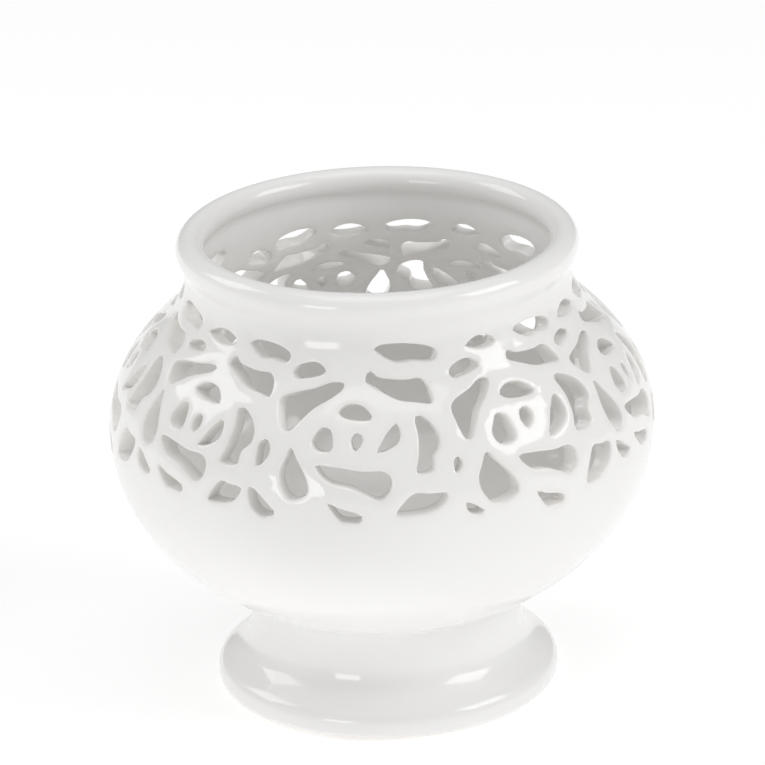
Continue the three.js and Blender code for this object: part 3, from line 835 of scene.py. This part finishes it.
# %% White glaze
def white_glaze():
    material, nodes, shader = new_material("white_glaze")
    wave = uneven(nodes, 38.0, 260.0, 0.12)
    thin = nodes.add("ShaderNodeAttribute", settings={"attribute_name": "thin"}).outputs["Fac"]
    where = nodes.add("ShaderNodeTexCoord").outputs["Object"]
    height = nodes.add("ShaderNodeSeparateXYZ", where).outputs["Z"]
    patch = nodes.math("MULTIPLY", nodes.math("SUBTRACT", wave["Mask"], 0.5), 1.2 * MM)
    bare = spread(nodes, nodes.math("ADD", height, patch), 0.1 * MM, 0.4 * MM, 1.0, 0.0)
    clean = nodes.add("ShaderNodeAttribute", settings={"attribute_name": "bare"}).outputs["Fac"]
    bare = nodes.math("MULTIPLY", bare, clean)
    tint = spread(nodes, wave["Mask"], 0.3, 0.7)
    glaze = blend(nodes, tint, (0.925, 0.918, 0.907), (0.938, 0.932, 0.922))
    edge = nodes.math("MULTIPLY", thin, spread(nodes, wave["Mask"], 0.35, 0.75, 0.25, 0.6))
    glaze = blend(nodes, edge, glaze, (0.86, 0.835, 0.79))
    grain = nodes.add("ShaderNodeTexNoise", Vector=where, Scale=2200.0, Detail=4.0).outputs["Fac"]
    clay = blend(nodes, grain, (0.78, 0.73, 0.66), (0.86, 0.82, 0.76))
    nodes.wire(blend(nodes, bare, glaze, clay), shader["Base Color"])
    gloss = spread(nodes, wave["Mask"], 0.3, 0.75, 0.06, 0.11)
    rough = nodes.math("ADD", gloss, nodes.math("MULTIPLY", bare, 0.75))
    nodes.wire(rough, shader["Roughness"])
    shader["IOR"].default_value = 1.52
    dry = nodes.math("MULTIPLY", nodes.math("MULTIPLY", grain, bare), 0.5)
    surface = nodes.math("ADD", wave["Height"], dry)
    nodes.wire(bump(nodes, surface, 0.45 * MM, 0.55), shader["Normal"])
    return material


GLAZE = white_glaze()
print("glaze:", len(GLAZE.node_tree.nodes), "nodes")

# %% [markdown]
# ## Turning the pot
#
# The tree takes the flat sheet and the section. For every point it looks up the
# section at the point's length, steps into the wall by its depth, and swings the
# result round the axis by its turn. The same rule makes the foot, the bowl, the cuts
# and the rim, so the skin has no seams: on the real pot glaze covers the joints too.

# %% The tree that turns a flat sheet into a pot
def turning_tree():
    nodes, given = geometry_tree("turn_on_the_wheel", {
        "Section": ("NodeSocketObject", None),
        "Glaze": ("NodeSocketMaterial", None),
    })
    flat_place = nodes.add("GeometryNodeInputPosition").outputs[0]
    turn, along, depth = nodes.add("ShaderNodeSeparateXYZ", flat_place).outputs
    line = nodes.add("GeometryNodeObjectInfo", given["Section"]).outputs["Geometry"]
    sampled = nodes.add("GeometryNodeSampleCurve", settings={"mode": "LENGTH"}, Curves=line, Length=along)
    found = sampled.outputs
    heading = nodes.add("ShaderNodeSeparateXYZ", found["Tangent"]).outputs
    inward = nodes.math("MULTIPLY", heading[0], -1.0)
    outward = nodes.add("ShaderNodeCombineXYZ", heading[2], 0.0, inward).outputs[0]
    outward = nodes.vector("NORMALIZE", outward)
    step = nodes.vector("SCALE", outward, Scale=depth)
    place = nodes.vector("ADD", found["Position"], step)
    swing = nodes.math("SUBTRACT", turn, math.pi / 2)
    turned = nodes.add("ShaderNodeVectorRotate", settings={"rotation_type": "Z_AXIS"},
                       Vector=place, Angle=swing)
    shaped = nodes.add("GeometryNodeSetPosition", given["Geometry"], Position=turned.outputs[0])
    return finish_tree(nodes, shaped.outputs[0], given["Glaze"])


def section_curve(points):
    curve = bpy.data.curves.new("section", "CURVE")
    curve.dimensions = "3D"
    spline = curve.splines.new("POLY")
    spline.points.add(len(points) - 1)
    for point, (r, z) in zip(spline.points, points):
        point.co = (r, 0, z, 1)
    drawn = bpy.data.objects.new("section", curve)
    bpy.context.collection.objects.link(drawn)
    return drawn


flat_pot = from_points("pottery", [(t, s, -d) for t, s, d in sheet.points], sheet.faces)
drawn_section = section_curve(section.points)
bare_from = float(np.interp(contact_inner - 1.0 * MM, underside[:, 0], lengths(underside)))
bare_to = foot_corner + 2.2 * MM
alongs = np.array([p[1] for p in sheet.points])
bare = (alongs > bare_from) & (alongs < bare_to)
for label, values in (("thin", sheet.thin), ("bare", bare)):
    layer = flat_pot.data.attributes.new(label, "FLOAT", "POINT")
    layer.data.foreach_set("value", np.asarray(values, np.float32))
pottery = run_tree("pottery", flat_pot, turning_tree(), {"Section": drawn_section, "Glaze": GLAZE})
bpy.data.objects.remove(drawn_section)
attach(pottery, "holder")
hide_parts("pedestal_foot", "pierced_bowl", "rolled_rim")

# %% [markdown]
# ## The tealight
#
# A tealight is four pieces: a cup pressed from foil, whose wall folds into fine
# flutes as the flat disc is drawn up, a fill of paraffin, a stamped tin disc with a
# stem, and a wick held upright in the stem. Each is a turned shape, so one helper
# turns a section into a closed mesh, and node trees add what repeats round it.

# %% Turn a small section into a closed mesh
def turned_mesh(name, profile, columns):
    """Closed mesh of a section whose first and last points may lie on the axis."""
    rings = []
    points = []
    for r, z in profile:
        if r < 1e-9:
            rings.append([len(points)])
            points.append((0, 0, z))
            continue
        rings.append(list(range(len(points), len(points) + columns)))
        angles = np.linspace(0, 2 * math.pi, columns, endpoint=False)
        points.extend((r * math.cos(a), r * math.sin(a), z) for a in angles)
    closed = len(rings[0]) > 1
    faces = []
    for a, b in zip(rings, rings[1:] + (rings[:1] if closed else [])):
        for i in range(columns):
            j = (i + 1) % columns
            if len(a) == 1 and len(b) > 1:
                faces.append((a[0], b[j], b[i]))
            elif len(b) == 1 and len(a) > 1:
                faces.append((a[i], a[j], b[0]))
            elif len(a) > 1:
                faces.append((a[i], a[j], b[j], b[i]))
    return from_points(name, points, faces)

# %% Foil, wax, tin and cotton
def wavy_finish(name, scales, colours, roughness, dent):
    """A finish whose colour, gloss and surface follow one unevenness."""
    material, nodes, shader = new_material(name)
    wave = uneven(nodes, *scales)
    tone = spread(nodes, wave["Mask"], 0.3, 0.7)
    nodes.wire(blend(nodes, tone, *colours), shader["Base Color"])
    nodes.wire(spread(nodes, wave["Mask"], 0.3, 0.7, *roughness), shader["Roughness"])
    nodes.wire(bump(nodes, wave["Height"], *dent), shader["Normal"])
    return material, shader


def foil():
    colours = (0.74, 0.75, 0.76), (0.86, 0.865, 0.87)
    material, shader = wavy_finish(
        "cup_foil", (260.0, 1500.0, 0.5), colours, (0.22, 0.36), (0.08 * MM, 0.6))
    shader["Metallic"].default_value = 1.0
    return material


def wax():
    colours = (0.90, 0.885, 0.83), (0.94, 0.93, 0.89)
    material, shader = wavy_finish(
        "candle_wax", (140.0, 900.0, 0.25), colours, (0.32, 0.48), (0.12 * MM, 0.5))
    shader["Subsurface Weight"].default_value = 0.3
    shader["Subsurface Radius"].default_value = (4 * MM, 3.5 * MM, 2.5 * MM)
    shader["Subsurface Scale"].default_value = 1.0
    return material


def tin():
    colours = (0.60, 0.60, 0.59), (0.74, 0.74, 0.73)
    material, shader = wavy_finish(
        "tinplate", (420.0, 2400.0, 0.6), colours, (0.3, 0.5), (0.05 * MM, 0.5))
    shader["Metallic"].default_value = 1.0
    return material


def cotton():
    material, nodes, shader = new_material("wick_cotton")
    where = nodes.add("ShaderNodeTexCoord").outputs["Object"]
    fibre = nodes.add("ShaderNodeTexNoise", Vector=where, Scale=5200.0, Detail=4.0).outputs["Fac"]
    height = nodes.add("ShaderNodeSeparateXYZ", where).outputs["Z"]
    soaked = spread(nodes, height, wax_high.z, wax_high.z + 5 * MM, 1.0, 0.0)
    yarn = blend(nodes, fibre, (0.80, 0.77, 0.69), (0.93, 0.91, 0.86))
    waxed = nodes.math("MULTIPLY", soaked, 0.6)
    nodes.wire(blend(nodes, waxed, yarn, (0.86, 0.84, 0.76)), shader["Base Color"])
    nodes.wire(nodes.math("SUBTRACT", 0.9, nodes.math("MULTIPLY", soaked, 0.4)), shader["Roughness"])
    nodes.wire(bump(nodes, fibre, 0.08 * MM, 0.8), shader["Normal"])
    return material


FOIL, WAX, TINPLATE, COTTON = foil(), wax(), tin(), cotton()
print("finishes:", ", ".join(m.name for m in (GLAZE, FOIL, WAX, TINPLATE, COTTON)))

# %% [markdown]
# The cup's flutes are made by a rule: the wall moves in and out once per flute, most
# half way up, and not at all at the floor or at the rolled bead. A node tree does it
# with the count and the depth as inputs, so the foil keeps the same thickness.

# %% Foil cup
FOIL_THICKNESS = 0.25 * MM
FLUTES = 64
cup_bead = 0.45 * MM
cup_radius = cup_high.x - cup_bead
cup_bottom_round = 1.2 * MM
cup_floor = cup_low.z
cup_top = cup_high.z
step_radius = 11 * MM
STEP_RISE = 0.45 * MM


def floor_step(low, t):
    """The small step in the cup's floor, at a height t above its underside."""
    return bezier([(step_radius, low + t + STEP_RISE), (step_radius + 0.5 * MM, low + t + STEP_RISE),
                   (step_radius + 0.4 * MM, low + t), (step_radius + 1.0 * MM, low + t)], 6)


def cup_profile():
    low = cup_floor
    r = cup_radius
    fold = cup_bottom_round
    outer_side = joined([
        [(0, low + STEP_RISE)],
        floor_step(low, 0),
        arc((r - fold, low + fold), fold, -90, 0, 8),
        np.column_stack([np.full(14, r), np.linspace(low + fold, cup_top - 2 * cup_bead, 14)]),
    ])
    bead = arc((r - 0.02 * MM, cup_top - cup_bead), cup_bead, -70, 150, 14)
    t = FOIL_THICKNESS
    inner_side = joined([
        np.column_stack([np.full(14, r - t), np.linspace(cup_top - 1.6 * cup_bead, low + fold, 14)]),
        arc((r - fold, low + fold), fold - t, 0, -90, 8),
        floor_step(low, t)[::-1],
        [(0, low + t + STEP_RISE)],
    ])
    return joined([outer_side, bead, inner_side])


def fluting_tree():
    nodes, given = geometry_tree("flute_the_wall", {
        "Flutes": ("NodeSocketInt", 64), "Depth": ("NodeSocketFloat", 0.0001),
        "From Height": ("NodeSocketFloat", 0.0), "To Height": ("NodeSocketFloat", 0.01),
        "Wall Radius": ("NodeSocketFloat", 0.01), "Foil": ("NodeSocketMaterial", None),
    })
    place = nodes.add("GeometryNodeInputPosition").outputs[0]
    x, y, z = nodes.add("ShaderNodeSeparateXYZ", place).outputs
    angle = nodes.math("ARCTAN2", y, x)
    wave = nodes.math("COSINE", nodes.math("MULTIPLY", angle, given["Flutes"]))
    wave = nodes.math("MULTIPLY", nodes.math("SUBTRACT", wave, 1.0), 0.5)
    low, high = given["From Height"], given["To Height"]
    share = nodes.add("ShaderNodeMapRange", z, low, high, 0.0, math.pi).outputs[0]
    swell = nodes.math("SINE", share)
    squares = nodes.math("ADD", nodes.math("MULTIPLY", x, x), nodes.math("MULTIPLY", y, y))
    on_wall = nodes.math("GREATER_THAN", nodes.math("SQRT", squares), given["Wall Radius"])
    depth = nodes.math("MULTIPLY", on_wall, given["Depth"])
    amount = nodes.math("MULTIPLY", nodes.math("MULTIPLY", wave, swell), depth)
    flat = nodes.add("ShaderNodeCombineXYZ", x, y, 0.0).outputs[0]
    offset = nodes.vector("SCALE", nodes.vector("NORMALIZE", flat), Scale=amount)
    moved = nodes.add("GeometryNodeSetPosition", given["Geometry"], Offset=offset)
    return finish_tree(nodes, moved.outputs[0], given["Foil"])


cup = run_tree("tealight_foil_cup", turned_mesh("cup", cup_profile(), FLUTES * 5), fluting_tree(), {
    "Flutes": FLUTES, "Depth": 0.22 * MM, "From Height": cup_floor + cup_bottom_round,
    "To Height": cup_top - 2 * cup_bead, "Wall Radius": cup_radius - 0.5 * MM, "Foil": FOIL,
})
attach(cup, "tealight")
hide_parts("tealight_cup")

# %% [markdown]
# Molten wax climbs a little up the cup and up the wick as it sets, and sinks between
# them, so its top is a shallow dish. Underneath, it is cast round the tin disc. It is
# one plain turned solid, so it needs no rule, only its section.

# %% Wax fill
def finished(name, piece, material):
    """A turned piece as it is, smooth, with its material."""
    mesh = piece.data
    mesh.shade_smooth()
    mesh.materials.append(material)
    bpy.data.objects.remove(piece)
    return kept(name, mesh)


wax_radius = wax_high.x
wick_radius = wick_high.x
stem_radius = wick_radius + 0.7 * MM
wax_bottom = wax_low.z
wax_top = wax_high.z
wax_dish = wax_top - 0.7 * MM
pocket_radius = disc_high.x + 0.3 * MM
hole_radius = wick_radius + 0.12 * MM
pocket_top = wax_bottom + 0.7 * MM
stem_hole = stem_radius + 0.2 * MM
stem_hole_top = disc_high.z + 0.2 * MM
CAST_ROUND = 1.0 * MM
EDGE_SOFT = 0.2 * MM
wax_profile = joined([
    [(pocket_radius, wax_bottom)],
    arc((wax_radius - CAST_ROUND, wax_bottom + CAST_ROUND), CAST_ROUND, -90, 0, 6),
    arc((wax_radius - EDGE_SOFT, wax_top - EDGE_SOFT), EDGE_SOFT, 0, 90, 4),
    bezier([(wax_radius - 0.25 * MM, wax_top), (wax_radius - 1.4 * MM, wax_dish),
            (wax_radius - 3.0 * MM, wax_dish), (wax_radius - 5.0 * MM, wax_dish)], 16),
    bezier([(3.5 * MM, wax_dish), (2.2 * MM, wax_dish), (1.4 * MM, wax_dish),
            (hole_radius, wax_top - 0.1 * MM)], 16),
    [(hole_radius, stem_hole_top), (stem_hole, stem_hole_top),
     (stem_hole, pocket_top), (pocket_radius, pocket_top)],
])
wax_fill = finished("cast_wax", turned_mesh("wax", wax_profile, 128), WAX)
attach(wax_fill, "tealight")
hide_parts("wax_fill")

# %% [markdown]
# The sustainer is a disc of tinplate with a raised stiffening ring, drawn up in the
# middle into a stem that grips the wick. It stands under the wax, so that the wick
# stays upright when everything round it has melted.

# %% Tin sustainer
TIN = 0.4 * MM
disc_radius = disc_high.x
disc_bottom = disc_low.z
disc_top = disc_bottom + TIN
ridge_top = disc_top + 0.22 * MM
ridge_out = np.array([(0.80, disc_top), (0.74, disc_top), (0.72, ridge_top), (0.66, ridge_top)])
ridge_in = np.array([(0.62, ridge_top), (0.56, ridge_top), (0.54, disc_top), (0.48, disc_top)])
STEM_FOOT = 0.8 * MM
STEM_LIP = 0.15 * MM
disc_profile = joined([
    [(0, disc_bottom), (disc_radius - 0.1 * MM, disc_bottom)],
    arc((disc_radius - TIN / 2, disc_bottom + TIN / 2), TIN / 2, -90, 90, 6),
    bezier(ridge_out * [disc_radius, 1], 6),
    bezier(ridge_in * [disc_radius, 1], 6),
    arc((stem_radius + STEM_FOOT, disc_top + STEM_FOOT), STEM_FOOT, -90, -180, 6),
    arc((wick_radius + 0.45 * MM, disc_high.z - STEM_LIP), STEM_LIP, 0, 180, 6),
    [(wick_radius + 0.3 * MM, disc_top + 0.1 * MM), (0, disc_top + 0.1 * MM)],
])
sustainer = finished("stamped_sustainer", turned_mesh("sustainer", disc_profile, 72), TINPLATE)
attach(sustainer, "tealight")
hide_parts("wick_sustainer")

# %% [markdown]
# A wick is cotton yarns laid round each other. The tree draws one yarn as a spiral
# with a round section, turns copies of it evenly round the axis, and keeps them all:
# change the number of yarns or the number of turns and the wick is laid differently.

# %% Wick of laid yarns
def laying_tree():
    nodes, given = geometry_tree("lay_the_yarns", {
        "Yarns": ("NodeSocketInt", 3), "Turns": ("NodeSocketFloat", 3.0),
        "Lay Radius": ("NodeSocketFloat", 0.0004), "Yarn Radius": ("NodeSocketFloat", 0.0004),
        "Length": ("NodeSocketFloat", 0.02), "Foot": ("NodeSocketVector", None),
        "Cotton": ("NodeSocketMaterial", None),
    })
    yarn = nodes.add("GeometryNodeCurveSpiral", 24, given["Turns"], given["Lay Radius"],
                     given["Lay Radius"], given["Length"]).outputs[0]
    circle = nodes.add("GeometryNodeCurvePrimitiveCircle", Resolution=14, Radius=given["Yarn Radius"])
    tube = nodes.add("GeometryNodeCurveToMesh", Curve=yarn, Profile_Curve=circle.outputs[0],
                     Fill_Caps=True).outputs[0]
    spots = nodes.add("GeometryNodeMeshLine", Count=given["Yarns"], Offset=(0, 0, 0)).outputs[0]
    number = nodes.add("GeometryNodeInputIndex").outputs[0]
    each = nodes.math("DIVIDE", 2 * math.pi, given["Yarns"])
    turn = nodes.add("ShaderNodeCombineXYZ", 0.0, 0.0, nodes.math("MULTIPLY", number, each)).outputs[0]
    laid = nodes.add("GeometryNodeInstanceOnPoints", Points=spots, Instance=tube, Rotation=turn).outputs[0]
    placed = nodes.add("GeometryNodeTransform", Geometry=laid, Translation=given["Foot"]).outputs[0]
    return finish_tree(nodes, placed, given["Cotton"])


wick = run_tree("laid_wick", from_points("yarns", [], []), laying_tree(), {
    "Yarns": 3, "Turns": 5.0, "Lay Radius": 0.40 * MM, "Yarn Radius": 0.38 * MM,
    "Length": wick_high.z - wick_low.z - 0.1 * MM, "Foot": (0, 0, wick_low.z + 0.05 * MM), "Cotton": COTTON,
})
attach(wick, "tealight")
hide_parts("wick")

# %% [markdown]
# ## Floor, light and camera
#
# The pot stands on a white sweep under a big soft overhead light. A small bright
# softbox in front on the left gives the square reflections on the lip, the neck and the
# foot that make the glaze read as glass, and two softer lights fill the right and edge
# the left. A long lens from over a metre away, looking down by about twenty-one
# degrees, keeps the ovals of rim and foot alike.

# %% Floor
FLOOR_SIZE = 6.0


def sweep():
    material, nodes, shader = new_material("white_sweep")
    shader["Base Color"].default_value = (0.80, 0.80, 0.80, 1.0)
    shader["Roughness"].default_value = 0.9
    shader["Specular IOR Level"].default_value = 0.1
    shader["Emission Color"].default_value = (1.0, 1.0, 1.0, 1.0)
    shader["Emission Strength"].default_value = 0.38
    half = FLOOR_SIZE / 2
    corners = [(-half, -half, 0), (half, -half, 0), (half, half, 0), (-half, half, 0)]
    floor = from_points("floor", corners, [(0, 1, 2, 3)])
    floor.data.materials.append(material)
    return floor


sweep()
print(f"white sweep {FLOOR_SIZE:.0f} m square")

# %% Light
def softbox(name, azimuth, elevation, distance, size, power, aim):
    """A square area light, placed round the pot by angle. Azimuth 0 is the front."""
    turn, lift = math.radians(azimuth), math.radians(elevation)
    away = Vector((math.sin(turn) * math.cos(lift), -math.cos(turn) * math.cos(lift), math.sin(lift)))
    lamp = bpy.data.lights.new(name, "AREA")
    lamp.shape = "RECTANGLE"
    lamp.size, lamp.size_y = size
    lamp.energy = power
    holder = bpy.data.objects.new(name, lamp)
    holder.location = Vector(aim) + away * distance
    holder.rotation_euler = (-away).to_track_quat("-Z", "Y").to_euler()
    bpy.context.collection.objects.link(holder)
    return holder


LIGHT_DISTANCE = 1.6
middle = (0, 0, TOP / 2)
softbox("front_left_softbox", -33, 8, LIGHT_DISTANCE, (0.54, 0.38), 2.6, middle)
softbox("overhead", 0, 86, 1.8, (1.4, 1.4), 7.5, middle)
softbox("right_fill", 72, 34, LIGHT_DISTANCE, (0.9, 0.7), 7.5, middle)
softbox("left_edge", -105, 38, LIGHT_DISTANCE, (0.8, 0.8), 5.0, middle)
world = bpy.data.worlds.new("studio")
world.use_nodes = True
surround = world.node_tree.nodes["Background"].inputs
surround["Color"].default_value = (1.0, 1.0, 1.0, 1.0)
surround["Strength"].default_value = 0.36
bpy.context.scene.world = world
bpy.context.scene.view_settings.view_transform = "Standard"
bpy.context.scene.cycles.diffuse_bounces = 8

# %% Camera
CAMERA_DISTANCE = 1.185
CAMERA_ELEVATION = math.radians(21.3)
CAMERA_ROLL = math.radians(-1.57)
aim = Vector((0.35 * MM, 0, 69.3 * MM))
view = bpy.data.cameras.new("camera")
view.lens = 253.8
view.sensor_width = 36.0
camera = bpy.data.objects.new("camera", view)
away = Vector((0, -math.cos(CAMERA_ELEVATION), math.sin(CAMERA_ELEVATION)))
camera.location = aim + away * CAMERA_DISTANCE
camera.rotation_mode = "QUATERNION"
camera.rotation_quaternion = (-away).to_track_quat("-Z", "Y") @ Quaternion((0, 0, 1), CAMERA_ROLL)
bpy.context.collection.objects.link(camera)
bpy.context.scene.camera = camera
print(f"camera {CAMERA_DISTANCE:.2f} m away, {view.lens:.0f} mm lens")
